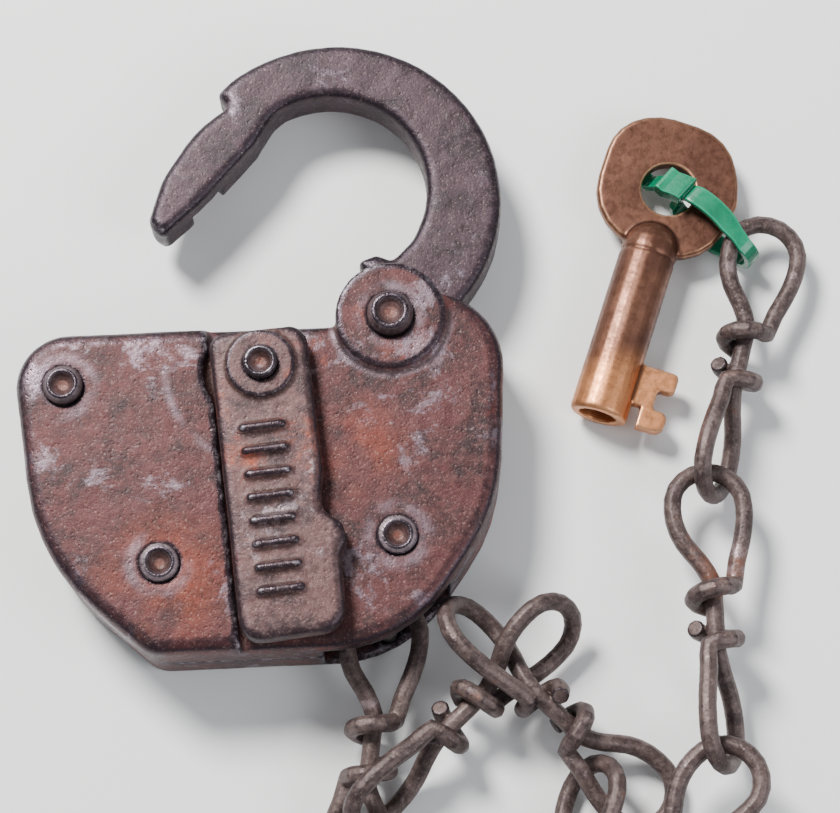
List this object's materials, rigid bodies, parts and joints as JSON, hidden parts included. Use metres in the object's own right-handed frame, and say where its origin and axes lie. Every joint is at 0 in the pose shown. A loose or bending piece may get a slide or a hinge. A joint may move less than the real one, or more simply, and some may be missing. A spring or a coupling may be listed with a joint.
{
  "type": "chain lock",
  "caption": "Old riveted steel padlock with an open swinging shackle, a swinging keyhole cover, a knotted wire chain and a hollow bronze key held to the chain by a cable tie.",
  "frame": {"origin": "middle of the flat back of the lock case, which lies on the table", "axes": "+X to the right with the lock seen from the front and its shackle up, +Y towards the shackle, +Z out of the front of the case"},
  "size_m": [0.1287, 0.1654, 0.0243],
  "materials": {
    "rusted_case": "rusted brown steel, worn smooth in patches",
    "shackle_steel": "dark brown speckled steel",
    "worn_rivet": "worn rivet heads",
    "chain_wire": "dark wire with rust and worn patches",
    "inner_steel": "plain steel, oiled",
    "spring_brass": "spring brass",
    "key_bronze": "worn bronze",
    "tie_nylon": "green nylon"
  },
  "bodies": {
    "case": {"back_shell": "rusted_case", "front_shell": "rusted_case", "rivet_upper_left": "worn_rivet", "rivet_lower_left": "worn_rivet", "rivet_lower_right": "worn_rivet", "shackle_rivet": "worn_rivet", "drop_rivet": "worn_rivet", "lever_post": "inner_steel", "key_post": "inner_steel", "chain_pin": "inner_steel", "bolt_spring": "spring_brass"},
    "shackle": {"shackle": "shackle_steel"},
    "drop": {"key_drop": "shackle_steel"},
    "bolt": {"bolt": "inner_steel"},
    "lever_lower": {"lever_lower": "inner_steel", "lever_spring_lower": "spring_brass"},
    "lever_upper": {"lever_upper": "inner_steel", "lever_spring_upper": "spring_brass"},
    "link_1": {"link_1": "chain_wire"},
    "link_2": {"link_2": "chain_wire"},
    "link_3": {"link_3": "chain_wire"},
    "link_4": {"link_4": "chain_wire"},
    "link_5": {"link_5": "chain_wire"},
    "link_6": {"link_6": "chain_wire"},
    "link_7": {"link_7": "chain_wire"},
    "tie": {"cable_tie": "tie_nylon"},
    "key": {"key": "key_bronze"}
  },
  "joints": [
    {"name": "shackle_hinge", "type": "hinge", "parent": "case", "child": "shackle", "pos_m": [0.0212, 0.0292, 0.0087], "axis": [0, 0, 1], "range_deg": [0, 57]},
    {"name": "drop_swing", "type": "hinge", "parent": "case", "child": "drop", "pos_m": [0.0006, 0.0209, 0.02], "axis": [0, 0, 1], "range_deg": [0, 70]},
    {"name": "bolt_slide", "type": "slide", "parent": "case", "child": "bolt", "axis": [-1, 0, 0], "range_m": [0, 0.0032]},
    {"name": "lever_lower_lift", "type": "hinge", "parent": "case", "child": "lever_lower", "pos_m": [0.0265, 0.01108, 0.00975], "axis": [0, 0, 1], "range_deg": [-5, 0]},
    {"name": "lever_upper_lift", "type": "hinge", "parent": "case", "child": "lever_upper", "pos_m": [0.0265, 0.01108, 0.01175], "axis": [0, 0, 1], "range_deg": [-5, 0]},
    {"name": "link_1_swing", "type": "hinge", "parent": "case", "child": "link_1", "pos_m": [0.0186, -0.0188, 0.0075], "axis": [0, 0, -1], "range_deg": [-5, 25]},
    {"name": "link_2_swing", "type": "hinge", "parent": "link_1", "child": "link_2", "pos_m": [0.01189, -0.05547, 0.00628], "axis": [0, 0, 1], "range_deg": [-5, 0.5]},
    {"name": "link_3_swing", "type": "hinge", "parent": "link_2", "child": "link_3", "pos_m": [0.03781, -0.01751, 0.01055], "axis": [0, 0, -1], "range_deg": [-12, 4]},
    {"name": "link_4_swing", "type": "hinge", "parent": "link_3", "child": "link_4", "pos_m": [0.05623, -0.04601, 0.00446], "axis": [0, 0, 1], "range_deg": [-4, 2]},
    {"name": "link_5_swing", "type": "hinge", "parent": "link_4", "child": "link_5", "pos_m": [0.03582, -0.07916, 0.00705], "axis": [0, 0, 1], "range_deg": [-0.8, 1.8]},
    {"name": "link_6_swing", "type": "hinge", "parent": "link_5", "child": "link_6", "pos_m": [0.07198, -0.04291, 0.01101], "axis": [0, 0, 1], "range_deg": [-6, 9]},
    {"name": "link_7_swing", "type": "hinge", "parent": "link_6", "child": "link_7", "pos_m": [0.07085, 0.00197, 0.00775], "axis": [0, 0, 1], "range_deg": [-25, 17]},
    {"name": "tie_swing", "type": "hinge", "parent": "link_7", "child": "tie", "pos_m": [0.07968, 0.04141, 0.0047], "axis": [0, 0, -1], "range_deg": [-16, 25]},
    {"name": "key_swing", "type": "hinge", "parent": "tie", "child": "key", "pos_m": [0.06824, 0.05246, 0.0047], "axis": [0, 0, 1], "range_deg": [-18, 9]}
  ]
}
